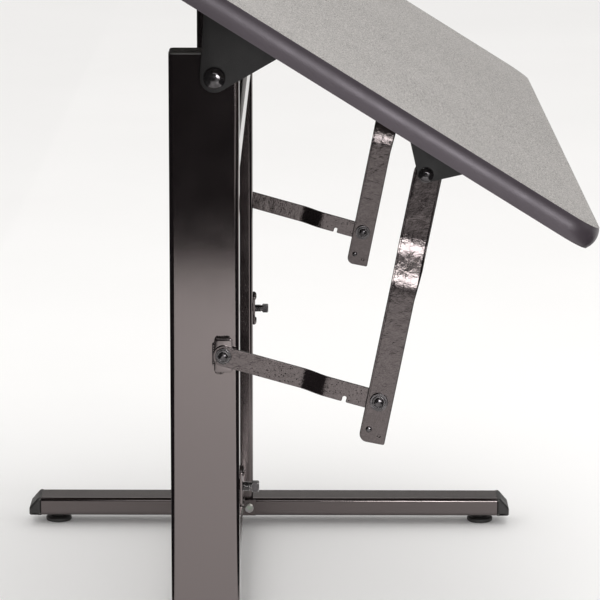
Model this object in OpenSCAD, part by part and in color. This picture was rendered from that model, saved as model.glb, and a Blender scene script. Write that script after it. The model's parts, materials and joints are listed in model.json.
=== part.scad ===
// Tilting drafting table on two telescoping posts, with a folding two-bar brace at each side.
// X points to the user's side, Y across the width (left is -Y), Z up. Millimetres.

/* [Tabletop] */
// Tilt of the top at rest, front edge down
tilt = 31.9; // [20:0.1:38]
// Depth of the top from back edge to front edge, edge band included
top_depth = 914; // [800:1:1000]
// Width of the top, edge band included
top_width = 1219; // [1140:1:1500]
// Total thickness of the top
top_thick = 25.4; // [18:0.2:32]
// Distance from the tilt hinge to the front edge, measured along the top
top_front = 433; // [400:1:480]
// Height of the underside above the tilt hinge
hinge_drop = 65; // [55:1:80]
// Radius of the corners in plan
corner_r = 38; // [20:1:60]
// How far the edge band bulges out
band_bulge = 4; // [2:0.5:6]

/* [Posts] */
// Position of the posts' centre line along X
post_x = -32.6; // [-60:0.1:0]
// Distance between the two posts, centre to centre
post_spacing = 960; // [800:1:1000]
// Post section, front to back
post_w = 76.2; // [60:0.1:90]
// Post section, side to side
post_t = 38.1; // [30:0.1:50]
// Wall of the tubes
wall = 2; // [1.5:0.1:3]
// Height of the tilt hinge above the floor at the lowest setting
hinge_z = 767.5; // [740:0.5:820]
// Forward offset of the tilt hinge from the posts' centre line
hinge_fwd = 11.9; // [0:0.1:18]
// Height of the cross beam's centre line
beam_z = 677; // [640:1:690]
// Height of the clamp screws above the floor
clamp_z = 306.5; // [200:0.5:340]

/* [Base] */
// Height of the top of the feet
foot_top = 38; // [34:1:60]
// Width of a foot tube
foot_w = 50.8; // [45:0.1:60]
// Height of a foot tube
foot_h = 25.4; // [24:0.1:40]
// Reach of a foot behind the posts' centre line
foot_back = 277; // [220:1:320]
// Reach of a foot in front of the posts' centre line
foot_front = 399; // [340:1:420]
// Length of an inner leg above the foot
leg_len = 552; // [500:1:600]

/* [Brace] */
// Length of the lower bar, pivot to pivot
link_len = 177.3; // [175:0.1:185]
// Length of the upper bar, pivot to pivot
arm_len = 256.4; // [250:0.1:265]
// Height of the lower bar's pivot on the post
link_z = 460.6; // [450:0.1:470]
// Forward offset of the lower bar's pivot from the posts' centre line
link_fwd = 20.5; // [15:0.1:26]
// Distance of the upper bar's pivot from the tilt hinge, along the top
arm_along = 249; // [244:0.1:256]
// Distance of the upper bar's pivot below the underside
arm_drop = 31.8; // [30:0.1:38]
// Width of the lower bar
link_w = 22.5; // [20:0.1:26]
// Width of the lower part of the upper bar
arm_w = 29.1; // [26:0.1:32]
// Width of the upper part of the upper bar
arm_wide = 31.5; // [30:0.1:36]
// Thickness of both bars
bar_t = 3; // [2.5:0.1:3.4]
// Sideways step in both bars
step = 9; // [7:0.5:9]

/* [Hidden] */
$fn = 48;

black = "#232122";
black_band = "#3a3438";
grey_top = "#8f938f";
zinc = "#9a9a98";
board = "#b49a76";

// Sides of the table: -1 is left, 1 is right
LEFT = -1;
RIGHT = 1;
eps = 1;                                   // how far a cutting shape runs past a face
slack = 0.4;                               // play between inner leg and post, each side
running = 0.05;                            // radial clearance of a turning pin
fixed = 0.02;                              // radial clearance of a fixed pin or screw

post_foot_z = foot_top + 0.5;
post_top_z = hinge_z + 25;
post_face = post_spacing / 2 + post_t / 2; // outer face of a post, from the middle

// Tilt hinge, and a point given along the top and above the hinge, as [x, z]
hinge = [post_x + hinge_fwd, hinge_z];
function on_top(s, h) = [
  hinge[0] + s * cos(tilt) + h * sin(tilt),
  hinge[1] - s * sin(tilt) + h * cos(tilt)
];

// Four-bar brace: post pivot, top pivot, and the knee where the two bars' circles meet
link_pin = [post_x + link_fwd, link_z];
arm_pin = on_top(arm_along, hinge_drop - arm_drop);
base_line = arm_pin - link_pin;
reach = norm(base_line);
foot_of_knee = (pow(link_len, 2) - pow(arm_len, 2) + pow(reach, 2)) / (2 * reach);
knee_height = sqrt(pow(link_len, 2) - pow(foot_of_knee, 2));
toward = base_line / reach;
knee = link_pin + foot_of_knee * toward + knee_height * [toward[1], -toward[0]];
link_angle = atan2(knee[1] - link_pin[1], knee[0] - link_pin[0]);
arm_angle = atan2(arm_pin[1] - knee[1], arm_pin[0] - knee[0]);

// Layers of a brace, as distances from its datum plane towards -Y. Both braces are the same hand.
gap = 0.5;
tab_t = 4;
link_back_w = tab_t + gap;                 // inner face of the lower bar at the post
link_front_w = link_back_w + step;         // inner face of the lower bar at the knee
arm_low_w = link_front_w + bar_t + gap;    // inner face of the upper bar at the knee
arm_high_w = arm_low_w - step;             // inner face of the upper bar at its top
gusset_w = arm_high_w + bar_t + gap;       // inner face of the bracket's gusset
brace_y_left = -post_face;
brace_y_right = post_face + 2 * link_back_w + bar_t;
function brace_y(side) = side < 0 ? brace_y_left : brace_y_right;

pin_r = 4;                                 // pivot rivets
hinge_r = 6;                               // tilt hinge bolts
clamp_r = 5.3;                             // clamp screws
screw_r = 2.4;                             // wood screws
glide_x = [post_x - foot_back + 40, post_x + foot_front - 40];

// ---- helpers ----

// Rounded rectangle centred on the origin
module rounded(l, w, r) {
  square([l - 2 * r, w], center = true);
  square([l, w - 2 * r], center = true);
  for (x = [-1, 1], y = [-1, 1])
    translate([x * (l / 2 - r), y * (w / 2 - r)]) circle(r);
}

// Upright tube from z0 to z1
module tube(l, w, r, z0, z1) {
  translate([0, 0, z0]) linear_extrude(z1 - z0) difference() {
    rounded(l, w, r);
    rounded(l - 2 * wall, w - 2 * wall, r - wall * 0.75);
  }
}

// Plate with its outline in the XZ plane, from w0 to w1 towards -Y
module plate(w0, w1) {
  translate([0, -w0, 0]) rotate([90, 0, 0]) linear_extrude(w1 - w0) children();
}

// Turned piece about an axis towards -Y
module turned() {
  rotate([90, 0, 0]) rotate_extrude() children();
}

// Cylinder along Y between two distances towards -Y
module pin_y(r, w0, w1) {
  translate([0, -w0, 0]) rotate([90, 0, 0]) cylinder(r = r, h = w1 - w0);
}

// Frame of the top: origin on the tilt hinge, X along the top to the front, Z out of the drawing face
module on_board() {
  translate([hinge[0], 0, hinge[1]]) rotate([0, tilt, 0]) children();
}

// Frame of a bar: origin at its pivot, X along the bar
module on_bar(pivot, angle, y) {
  translate([pivot[0], y, pivot[1]]) rotate([0, -angle, 0]) children();
}

// Triangular ear: a round end of radius r about the pivot, sides at angle a, base at height h
module ear(r, h, a) {
  b = (r + h * cos(a)) / sin(a);
  circle(r);
  polygon([[-b, h], [b, h], [r * sin(a), -r * cos(a)], [-r * sin(a), -r * cos(a)]]);
}

// Side profile of a stepped bar: thickness t, inner face at w0 up to u0, and at w1 from u1 on
module stepped(u_min, u0, u1, u_max, w0, w1, half_w) {
  translate([0, 0, -half_w]) linear_extrude(2 * half_w) polygon([
    [u_min, -w0], [u0, -w0], [u1, -w1], [u_max, -w1],
    [u_max, -w1 - bar_t], [u1, -w1 - bar_t], [u0, -w0 - bar_t], [u_min, -w0 - bar_t]
  ]);
}

// Domed head of radius r and height h on a flat base, as a half profile
module dome_profile(r, h) {
  sphere_r = (r * r + h * h) / (2 * h);
  intersection() {
    translate([0, h - sphere_r]) circle(sphere_r, $fn = 96);
    square([r, h]);
  }
}

// ---- base ----

foot_wall_r = 5;
foot_cap_l = 17;
foot_bottom = foot_top - foot_h;
stretcher_z = foot_bottom + foot_h / 2;
stretcher_h = 20;
stretcher_w = 50;
flange_l = 84;
flange_t = 4;
flange_bolt_x = 33;
flange_bolt_r = 4;

module foot(side) {
  color(black) translate([post_x, side * post_spacing / 2, 0]) difference() {
    translate([-foot_back + foot_cap_l, 0, stretcher_z]) rotate([0, 90, 0])
      tube(foot_h, foot_w, foot_wall_r, 0, foot_back + foot_front - 2 * foot_cap_l);
    for (x = [-foot_back + 40, foot_front - 40])
      translate([x, 0, foot_bottom - eps]) cylinder(r = 4 + fixed, h = wall + 2 * eps);
    for (x = [-1, 1])
      translate([x * flange_bolt_x, -side * foot_w / 2, stretcher_z])
        rotate([90, 0, 0]) cylinder(r = flange_bolt_r + fixed, h = 3 * wall, center = true);
  }
}

// End cap: a plug in the tube and a nose that slopes down and is rounded at its upper edge
module foot_cap() {
  plug_w = foot_w - 2 * foot_wall_r;
  translate([-14, -plug_w / 2, foot_bottom + wall + 0.1])
    cube([14, plug_w, foot_h - 2 * wall - 0.2]);
  translate([0, foot_w / 2, foot_bottom]) rotate([90, 0, 0]) linear_extrude(foot_w) {
    polygon([[0, 0], [foot_cap_l - 3, 0], [foot_cap_l, 3], [foot_cap_l, foot_h - 17],
      [foot_cap_l - 2, foot_h - 12], [5, foot_h - 1], [1, foot_h], [0, foot_h]]);
  }
}

module foot_caps() {
  color(black_band) for (side = [LEFT, RIGHT]) translate([post_x, side * post_spacing / 2, 0]) {
    translate([foot_front - foot_cap_l, 0, 0]) foot_cap();
    translate([-foot_back + foot_cap_l, 0, 0]) mirror([1, 0, 0]) foot_cap();
  }
}

module levelling_glides() {
  color(black_band) for (side = [LEFT, RIGHT], x = glide_x)
    translate([x, side * post_spacing / 2, 0]) rotate_extrude()
      polygon([[0, 0], [17, 0], [18, 1.5], [18, 5], [14, 8], [9, foot_bottom],
        [4, foot_bottom], [4, foot_bottom + 14], [0, foot_bottom + 14]]);
}

module inner_leg(side) {
  color(zinc) translate([post_x, side * post_spacing / 2, 0])
    tube(post_w - 2 * wall - 2 * slack, post_t - 2 * wall - 2 * slack, 3, foot_top, foot_top + leg_len);
}

module floor_stretcher() {
  inner = post_spacing / 2 - foot_w / 2;
  color(black) translate([post_x, 0, stretcher_z]) {
    rotate([90, 0, 0])
      tube(stretcher_w, stretcher_h, 4, -inner + flange_t, inner - flange_t);
    for (side = [LEFT, RIGHT]) difference() {
      translate([-flange_l / 2, side > 0 ? inner - flange_t : -inner, -stretcher_h / 2 - 1])
        cube([flange_l, flange_t, stretcher_h + 2]);
      for (x = [-1, 1]) translate([x * flange_bolt_x, side * inner, 0])
        rotate([90, 0, 0]) cylinder(r = flange_bolt_r + fixed, h = 4 * flange_t, center = true);
    }
  }
}

// Screws through the stretcher's flanges into the feet
module stretcher_screws() {
  inner = post_spacing / 2 - foot_w / 2;
  color(zinc) for (side = [LEFT, RIGHT], x = [-1, 1])
    translate([post_x + x * flange_bolt_x, side * (inner - flange_t), stretcher_z]) {
      rotate([side * 90, 0, 0]) cylinder(r = 6.5, h = 5, $fn = 6);
      rotate([-side * 90, 0, 0]) cylinder(r = flange_bolt_r, h = 14);
    }
}

// ---- posts ----

module post(side) {
  color(black) difference() {
    translate([post_x, side * post_spacing / 2, 0])
      tube(post_w, post_t, 5, post_foot_z, post_top_z);
    translate([hinge[0], side * post_spacing / 2, hinge[1]]) rotate([90, 0, 0])
      cylinder(r = hinge_r + fixed, h = post_t + 2 * eps, center = true);
    translate([post_x + post_w / 2 - wall - eps, side * post_spacing / 2, clamp_z])
      rotate([0, 90, 0]) cylinder(r = clamp_r + running, h = wall + 2 * eps);
  }
}

module post_caps() {
  cap_t = 3;
  color(black_band) for (side = [LEFT, RIGHT]) translate([post_x, side * post_spacing / 2, post_top_z]) {
    linear_extrude(cap_t) rounded(post_w, post_t, 5);
    translate([0, 0, -12]) linear_extrude(12)
      rounded(post_w - 2 * wall - 0.3, post_t - 2 * wall - 0.3, 3);
  }
}

beam_s = 38.1;
module cross_beam() {
  inner = post_spacing / 2 - post_t / 2;
  color(black) translate([post_x + post_w / 2 - beam_s / 2, 0, beam_z])
    rotate([90, 0, 0]) tube(beam_s, beam_s, 5, -inner, inner);
}

clamp_plate_h = 39;
clamp_plate_w = 22;
clamp_plate_t = 3.2;
bead_r = 4.5;

// Threaded plate welded to the front of a post, with a bead above and below
module clamp_plate(side) {
  color(black) translate([post_x + post_w / 2, side * post_spacing / 2, clamp_z]) difference() {
    union() {
      translate([0, -clamp_plate_w / 2, -clamp_plate_h / 2])
        cube([clamp_plate_t, clamp_plate_w, clamp_plate_h]);
      intersection() {
        for (z = [-1, 1]) translate([0, 0, z * (clamp_plate_h / 2 - 2)])
          rotate([90, 0, 0]) cylinder(r = bead_r, h = clamp_plate_w - 2, center = true);
        translate([0, -clamp_plate_w, -clamp_plate_h]) cube([9, 2 * clamp_plate_w, 2 * clamp_plate_h]);
      }
    }
    translate([-eps, 0, 0]) rotate([0, 90, 0]) cylinder(r = clamp_r + running, h = 20);
  }
}

clamp_shank = 13;
clamp_head = 8.5;
// Square-headed clamp screw whose tip stops just short of the inner leg
module clamp_screw(side) {
  color(zinc) translate([post_x + post_w / 2, side * post_spacing / 2, clamp_z]) rotate([0, 90, 0]) {
    translate([0, 0, -wall]) cylinder(r = clamp_r, h = wall + clamp_shank - 2);
    translate([0, 0, clamp_shank - 2]) cylinder(r = clamp_r - 1, h = 2);
    intersection() {
      translate([0, 0, clamp_shank + clamp_head / 2])
        cube([2 * clamp_r, 2 * clamp_r, clamp_head], center = true);
      translate([0, 0, clamp_shank]) cylinder(r1 = clamp_r * 1.36, r2 = clamp_r * 1.22, h = clamp_head);
    }
  }
}

// Tab welded to the outer face of a post, with a bead at each end, for the lower bar's rivet
tab_w = 20;
tab_h = 38;
module brace_tab(side) {
  color(black) translate([link_pin[0], side * post_face, link_pin[1]]) difference() {
    union() {
      translate([-tab_w / 2, side > 0 ? 0 : -tab_t, -tab_h / 2]) cube([tab_w, tab_t, tab_h]);
      intersection() {
        for (z = [-1, 1]) translate([0, 0, z * (tab_h / 2 - 1)])
          rotate([0, 90, 0]) cylinder(r = 3.8, h = tab_w - 2, center = true);
        translate([-tab_w, side > 0 ? 0 : -9, -tab_h]) cube([2 * tab_w, 9, 2 * tab_h]);
      }
    }
    rotate([90, 0, 0]) cylinder(r = pin_r + fixed, h = 4 * tab_t, center = true);
  }
}

// Rivet of the lower bar: shank in the tab, a washer ring and a domed head outside the bar
module link_rivet(side) {
  color(zinc) translate([link_pin[0], side * post_face, link_pin[1]])
    rotate([-side * 90, 0, 0]) rotate_extrude() {
      square([pin_r, tab_t + gap + bar_t + 0.5]);
      translate([0, tab_t + gap + bar_t + 0.3]) square([8.8, 1.2]);
      translate([0, tab_t + gap + bar_t + 1.5]) square([7, 1]);
      translate([0, tab_t + gap + bar_t + 2.5]) dome_profile(5, 2.6);
    }
}

// ---- tabletop ----

under = hinge_drop;
skin_t = 0.8;
core_z = under + skin_t;
core_t = top_thick - 2 * skin_t;
mid_z = under + top_thick / 2;
panel_l = top_depth - 2 * band_bulge;
panel_w = top_width - 2 * band_bulge;
panel_r = corner_r - band_bulge;
panel_x = top_front - top_depth / 2;
tang_t = 1.8;
tang_depth = 8;

hinge_plate_l = 130;
hinge_plate_w = 84;
plate_t = 3;
hinge_screw = [45, 33];
gusset_half = 43;
brace_flange_w = 34;
brace_screw_x = 30;

// Screw positions in the top's own frame, as [x, y]
hinge_screws = [for (side = [LEFT, RIGHT], x = [-1, 1], y = [-1, 1])
  [x * hinge_screw[0], side * post_spacing / 2 + y * hinge_screw[1]]];
brace_screws = [for (side = [LEFT, RIGHT], x = [-1, 1])
  [arm_along + x * brace_screw_x, brace_y(side) - gusset_w - bar_t - brace_flange_w / 2]];
pilot_len = 17;

module pilots(r, z0, z1) {
  for (p = concat(hinge_screws, brace_screws)) translate([p[0], p[1], z0]) cylinder(r = r, h = z1 - z0);
}

module panel(z0, t) {
  translate([panel_x, 0, z0]) linear_extrude(t) rounded(panel_l, panel_w, panel_r);
}

module top_core() {
  color(board) on_board() difference() {
    panel(core_z, core_t);
    translate([panel_x, 0, mid_z - tang_t / 2 - 0.1]) linear_extrude(tang_t + 0.2) difference() {
      rounded(panel_l + 2, panel_w + 2, panel_r + 1);
      rounded(panel_l - 2 * tang_depth - 0.4, panel_w - 2 * tang_depth - 0.4, panel_r - tang_depth);
    }
    pilots(screw_r + fixed, core_z - eps, under + pilot_len);
  }
}

module top_laminate() {
  color(grey_top) on_board() panel(under + top_thick - skin_t, skin_t);
}

module top_backer() {
  color(black_band) on_board() difference() {
    panel(under, skin_t);
    pilots(screw_r + fixed, under - eps, core_z + eps);
  }
}

// Bulging face of the edge band, as a half lens standing on the panel's edge
module band_profile() {
  arc_r = (pow(band_bulge, 2) + pow(top_thick / 2, 2)) / (2 * band_bulge);
  intersection() {
    translate([band_bulge - arc_r, 0]) circle(arc_r, $fn = 180);
    translate([0, -top_thick / 2]) square([band_bulge + 1, top_thick]);
  }
}

module edge_band() {
  straight_x = panel_l - 2 * panel_r;
  straight_y = panel_w - 2 * panel_r;
  color(black_band) on_board() translate([panel_x, 0, mid_z]) {
    for (s = [-1, 1]) {
      translate([s * panel_l / 2, s * straight_y / 2, 0]) rotate([90, 0, s > 0 ? 0 : 180])
        linear_extrude(straight_y) band_profile();
      translate([-s * straight_x / 2, s * panel_w / 2, 0]) rotate([90, 0, s * 90])
        linear_extrude(straight_x) band_profile();
    }
    for (q = [0:3]) {
      sx = (q == 0 || q == 3) ? 1 : -1;
      sy = q < 2 ? 1 : -1;
      translate([sx * straight_x / 2, sy * straight_y / 2, 0]) rotate([0, 0, q * 90])
        rotate_extrude(angle = 90) translate([panel_r, 0]) band_profile();
    }
    translate([0, 0, -tang_t / 2]) linear_extrude(tang_t) difference() {
      rounded(panel_l, panel_w, panel_r);
      rounded(panel_l - 2 * tang_depth, panel_w - 2 * tang_depth, panel_r - tang_depth);
    }
  }
}

// Saddle bracket: a plate under the top and two ears astride the post
hinge_ear_r = 16;
hinge_ear_gap = 1;
module hinge_bracket(side) {
  ear_in = post_t / 2 + hinge_ear_gap;
  color(black) on_board() translate([0, side * post_spacing / 2, 0]) difference() {
    union() {
      translate([-hinge_plate_l / 2, -hinge_plate_w / 2, under - plate_t])
        cube([hinge_plate_l, hinge_plate_w, plate_t]);
      for (w = [ear_in, -ear_in - plate_t])
        plate(w, w + plate_t) ear(hinge_ear_r, under - plate_t / 2, 62);
    }
    rotate([90, 0, 0]) cylinder(r = hinge_r + running, h = post_t + 20, center = true);
    for (x = [-1, 1], y = [-1, 1])
      translate([x * hinge_screw[0], y * hinge_screw[1], under - plate_t - eps])
        cylinder(r = screw_r + 0.2, h = plate_t + 2 * eps);
  }
}

hinge_bolt_reach = post_t / 2 + hinge_ear_gap + plate_t;

// Washers between the ears and the posts
module hinge_washers() {
  color(zinc) for (side = [LEFT, RIGHT], y = [-1, 1])
    translate([hinge[0], side * post_spacing / 2 + y * (post_t / 2 + hinge_ear_gap / 2), hinge[1]])
      rotate([90, 0, 0]) difference() {
        cylinder(r = 13, h = hinge_ear_gap - 0.2, center = true);
        cylinder(r = hinge_r + fixed, h = 4, center = true);
      }
}

// Tilt hinge bolts, heads outside
module hinge_bolts() {
  color(zinc) for (side = [LEFT, RIGHT])
    translate([hinge[0], side * post_spacing / 2, hinge[1]]) rotate([-side * 90, 0, 0]) {
      translate([0, 0, -hinge_bolt_reach - 11]) cylinder(r = hinge_r, h = 2 * hinge_bolt_reach + 12);
      translate([0, 0, hinge_bolt_reach + 0.3]) rotate_extrude() dome_profile(12, 6);
    }
}

module hinge_nuts() {
  color(zinc) for (side = [LEFT, RIGHT])
    translate([hinge[0], side * post_spacing / 2, hinge[1]]) rotate([side * 90, 0, 0])
      translate([0, 0, hinge_bolt_reach + 0.3]) difference() {
        cylinder(r = 10.8, h = 9, $fn = 6);
        translate([0, 0, -eps]) cylinder(r = hinge_r + fixed, h = 12);
      }
}

// Angle bracket with a triangular gusset that carries the upper bar
bracket_tip_r = 8.8;
module brace_bracket(side) {
  color(black) on_board() translate([arm_along, brace_y(side), 0]) difference() {
    union() {
      translate([0, 0, under - arm_drop])
        plate(gusset_w, gusset_w + bar_t) ear(bracket_tip_r, arm_drop - plate_t / 2, 45);
      translate([-gusset_half, -gusset_w - bar_t - brace_flange_w, under - plate_t])
        cube([2 * gusset_half, bar_t + brace_flange_w, plate_t]);
    }
    translate([0, 0, under - arm_drop]) pin_y(pin_r + fixed, gusset_w - eps, gusset_w + bar_t + eps);
    for (x = [-1, 1])
      translate([x * brace_screw_x, -gusset_w - bar_t - brace_flange_w / 2, under - plate_t - eps])
        cylinder(r = screw_r + 0.2, h = plate_t + 2 * eps);
  }
}

// Pan-head screws that hold all four brackets to the underside
module bracket_screws() {
  head_h = 2.6;
  color(zinc) on_board() for (p = concat(hinge_screws, brace_screws))
    translate([p[0], p[1], under - plate_t]) {
      cylinder(r = screw_r, h = pilot_len + plate_t - 1);
      rotate([180, 0, 0]) rotate_extrude() dome_profile(4.6, head_h);
    }
}

// Rivet of the upper bar, fixed in the bracket
module arm_rivet(side) {
  tail = arm_high_w - 0.3;
  color(zinc) on_board() translate([arm_along, brace_y(side), under - arm_drop]) turned() {
    translate([0, tail - 2.4]) square([6.5, 2.4]);
    translate([0, tail - 0.5]) square([pin_r, gusset_w + bar_t - tail + 1]);
    translate([0, gusset_w + bar_t]) dome_profile(8.4, 4.6);
  }
}

// ---- brace bars ----

arm_tail = 47;
arm_rear = 13.5;                            // from the rivet line to the upper bar's rear edge
arm_widen = [118, 152];                    // where the upper bar grows wider
arm_step_u = [128, 185];                   // where the upper bar steps sideways
link_step_u = [91, 118];                   // where the lower bar steps sideways
stop_at = [-32.4, 4.7];                    // stop pin, along and across the upper bar
notch_u = link_len - 37;                   // notch in the lower bar that receives the stop pin
notch_r = 2.3;

// Outline of the upper bar as a block: a tail with one soft corner, a wider top with a round end
module arm_block() {
  front = arm_w - arm_rear;
  wide = arm_wide - arm_rear;
  soft = 9;
  hard = 2;
  plate(0, 40) polygon([
    [-arm_tail, arm_rear - soft], [-arm_tail + soft, arm_rear - soft], [-arm_tail + soft, arm_rear],
    [arm_len, arm_rear], [arm_len, -wide], [arm_widen[1], -wide], [arm_widen[0], -front],
    [-arm_tail + hard, -front], [-arm_tail + hard, -front + hard], [-arm_tail, -front + hard]
  ]);
  translate([-arm_tail + soft, 0, arm_rear - soft]) pin_y(soft, 0, 40);
  translate([-arm_tail + hard, 0, hard - front]) pin_y(hard, 0, 40);
  translate([arm_len, 0, (arm_rear - wide) / 2]) pin_y(arm_wide / 2, 0, 40);
}

module arm(side) {
  color(black) on_bar(knee, arm_angle, brace_y(side)) difference() {
    intersection() {
      arm_block();
      stepped(-arm_tail - 5, arm_step_u[0], arm_step_u[1], arm_len + 25, arm_low_w, arm_high_w, 30);
    }
    pin_y(pin_r + fixed, 0, 40);
    translate([arm_len, 0, 0]) pin_y(pin_r + running, 0, 40);
    translate([stop_at[0], 0, stop_at[1]]) pin_y(2.2 + fixed, 0, 40);
    translate([-37.8, 0, -7.8]) pin_y(1.6, arm_low_w + 1.2, 40);
  }
}

// Knee rivet with its stack of washers, fixed to the upper bar; it ends short of the lower bar
module joint_rivet(side) {
  face = arm_low_w + bar_t;
  color(zinc) translate([knee[0], brace_y(side), knee[1]]) turned() {
    translate([0, arm_low_w - 0.2]) square([pin_r, bar_t + 0.5]);
    translate([0, face]) square([9.9, 1.4]);
    translate([0, face + 1.4]) square([9.2, 0.5]);
    translate([0, face + 1.9]) square([9.9, 1.4]);
    translate([0, face + 3.3]) square([6.8, 0.8]);
    translate([0, face + 4.1]) dome_profile(5, 2.2);
  }
}

module stop_pin(side) {
  face = arm_low_w + bar_t;
  color(zinc) on_bar(knee, arm_angle, brace_y(side)) translate([stop_at[0], 0, stop_at[1]]) turned() {
    translate([0, arm_low_w - 0.2]) square([2.2, bar_t + 0.4]);
    translate([0, face]) dome_profile(3.3, 1.8);
  }
}

module link_outline() {
  half = link_w / 2;
  translate([0, -half]) square([link_len, link_w]);
  circle(half);
  translate([link_len, 0]) circle(half);
}

module link(side) {
  color(black) on_bar(link_pin, link_angle, brace_y(side)) difference() {
    intersection() {
      plate(0, 40) link_outline();
      stepped(-20, link_step_u[0], link_step_u[1], link_len + 20, link_back_w, link_front_w, 20);
    }
    pin_y(pin_r + running, 0, 40);
    translate([link_len, 0, 0]) pin_y(pin_r + fixed, 0, 40);
    translate([notch_u, 0, -7]) pin_y(notch_r, 0, 40);
    translate([notch_u - notch_r, -40, -link_w]) cube([2 * notch_r, 40, link_w - 7]);
  }
}

// Tail of the knee rivet, fixed to the lower bar; the gap to its head is the opened pivot
module link_tail(side) {
  color(zinc) translate([knee[0], brace_y(side), knee[1]]) turned() {
    translate([0, link_front_w - 2.6]) square([6.5, 2.6]);
    translate([0, link_front_w - 1]) square([pin_r, bar_t + 1]);
  }
}

module foot_left() { foot(LEFT); }
module foot_right() { foot(RIGHT); }
module inner_leg_left() { inner_leg(LEFT); }
module inner_leg_right() { inner_leg(RIGHT); }
module post_left() { post(LEFT); }
module post_right() { post(RIGHT); }
module clamp_plate_left() { clamp_plate(LEFT); }
module clamp_plate_right() { clamp_plate(RIGHT); }
module clamp_screw_left() { clamp_screw(LEFT); }
module clamp_screw_right() { clamp_screw(RIGHT); }
module brace_tab_left() { brace_tab(LEFT); }
module brace_tab_right() { brace_tab(RIGHT); }
module link_rivet_left() { link_rivet(LEFT); }
module link_rivet_right() { link_rivet(RIGHT); }
module hinge_bracket_left() { hinge_bracket(LEFT); }
module hinge_bracket_right() { hinge_bracket(RIGHT); }
module brace_bracket_left() { brace_bracket(LEFT); }
module brace_bracket_right() { brace_bracket(RIGHT); }
module arm_rivet_left() { arm_rivet(LEFT); }
module arm_rivet_right() { arm_rivet(RIGHT); }
module arm_left() { arm(LEFT); }
module arm_right() { arm(RIGHT); }
module joint_rivet_left() { joint_rivet(LEFT); }
module joint_rivet_right() { joint_rivet(RIGHT); }
module stop_pin_left() { stop_pin(LEFT); }
module stop_pin_right() { stop_pin(RIGHT); }
module link_left() { link(LEFT); }
module link_right() { link(RIGHT); }
module link_tail_left() { link_tail(LEFT); }
module link_tail_right() { link_tail(RIGHT); }

foot_left();
foot_right();
foot_caps();
levelling_glides();
inner_leg_left();
inner_leg_right();
floor_stretcher();
stretcher_screws();
post_left();
post_right();
post_caps();
cross_beam();
clamp_plate_left();
clamp_plate_right();
clamp_screw_left();
clamp_screw_right();
brace_tab_left();
brace_tab_right();
link_rivet_left();
link_rivet_right();
top_core();
top_laminate();
top_backer();
edge_band();
hinge_bracket_left();
hinge_bracket_right();
hinge_bolts();
hinge_nuts();
hinge_washers();
brace_bracket_left();
brace_bracket_right();
bracket_screws();
arm_rivet_left();
arm_rivet_right();
arm_left();
arm_right();
joint_rivet_left();
joint_rivet_right();
stop_pin_left();
stop_pin_right();
link_left();
link_right();
link_tail_left();
link_tail_right();
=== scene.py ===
"""Looks of the tilting drafting table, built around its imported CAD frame. Metres throughout."""

import json
import math

import bmesh
import bpy
from mathutils import Matrix, Vector, noise
from mathutils.geometry import tessellate_polygon


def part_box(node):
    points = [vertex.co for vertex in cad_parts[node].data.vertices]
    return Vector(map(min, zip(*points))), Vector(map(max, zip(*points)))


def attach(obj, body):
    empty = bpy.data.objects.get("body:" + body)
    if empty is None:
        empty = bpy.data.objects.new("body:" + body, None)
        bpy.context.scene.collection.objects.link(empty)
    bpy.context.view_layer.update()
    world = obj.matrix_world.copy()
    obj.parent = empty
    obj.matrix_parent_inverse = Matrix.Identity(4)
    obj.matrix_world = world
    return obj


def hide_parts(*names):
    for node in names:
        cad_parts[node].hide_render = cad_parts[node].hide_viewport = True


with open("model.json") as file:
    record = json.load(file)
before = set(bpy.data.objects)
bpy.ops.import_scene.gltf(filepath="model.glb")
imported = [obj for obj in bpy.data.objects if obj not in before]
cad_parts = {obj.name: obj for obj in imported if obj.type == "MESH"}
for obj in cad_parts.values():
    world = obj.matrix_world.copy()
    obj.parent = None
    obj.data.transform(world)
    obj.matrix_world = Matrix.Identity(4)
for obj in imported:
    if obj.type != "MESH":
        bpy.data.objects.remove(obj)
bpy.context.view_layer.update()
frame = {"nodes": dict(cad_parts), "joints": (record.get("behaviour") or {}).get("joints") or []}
NODES = frame["nodes"]
JOINTS = {j["name"]: j for j in frame["joints"]}

bpy.context.scene.view_settings.view_transform = "Standard"

# ---- places, from the frame ----

SIDES = ("left", "right")
SIGN = {"left": -1, "right": 1}
HINGE = Vector(JOINTS["top_tilt"]["pos_m"])
TILT = math.radians(-JOINTS["top_tilt"]["range_deg"][0])


def centre(node):
    lo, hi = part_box(node)
    return (lo + hi) / 2


def pin(name):
    return Vector(JOINTS[name]["pos_m"])


LINK_PIN = pin("link_left_pivot")
ARM_PIN = pin("arm_left_pivot")
KNEE = centre("joint_rivet_left")
LINK_ANGLE = math.atan2(KNEE.z - LINK_PIN.z, KNEE.x - LINK_PIN.x)
ARM_ANGLE = math.atan2(ARM_PIN.z - KNEE.z, ARM_PIN.x - KNEE.x)
LINK_LEN = math.hypot(KNEE.z - LINK_PIN.z, KNEE.x - LINK_PIN.x)
ARM_LEN = math.hypot(ARM_PIN.z - KNEE.z, ARM_PIN.x - KNEE.x)

# Layers of a brace, as distances from its datum plane towards -Y
BAR_T = 0.003
LINK_BACK = 0.0045
LINK_FRONT = 0.0135
ARM_LOW = 0.017
ARM_HIGH = 0.008
GUSSET = 0.0115
TAB_T = 0.004
BRACE_Y = {s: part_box("arm_" + s)[1].y + ARM_HIGH for s in SIDES}
POST_Y = {s: centre("post_" + s).y for s in SIDES}
POST_FACE = {"left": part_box("post_left")[0].y, "right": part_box("post_right")[1].y}
POST_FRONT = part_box("post_left")[1].x
POST_X = centre("post_left").x
CLAMP_Z = centre("clamp_plate_left").z

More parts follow.
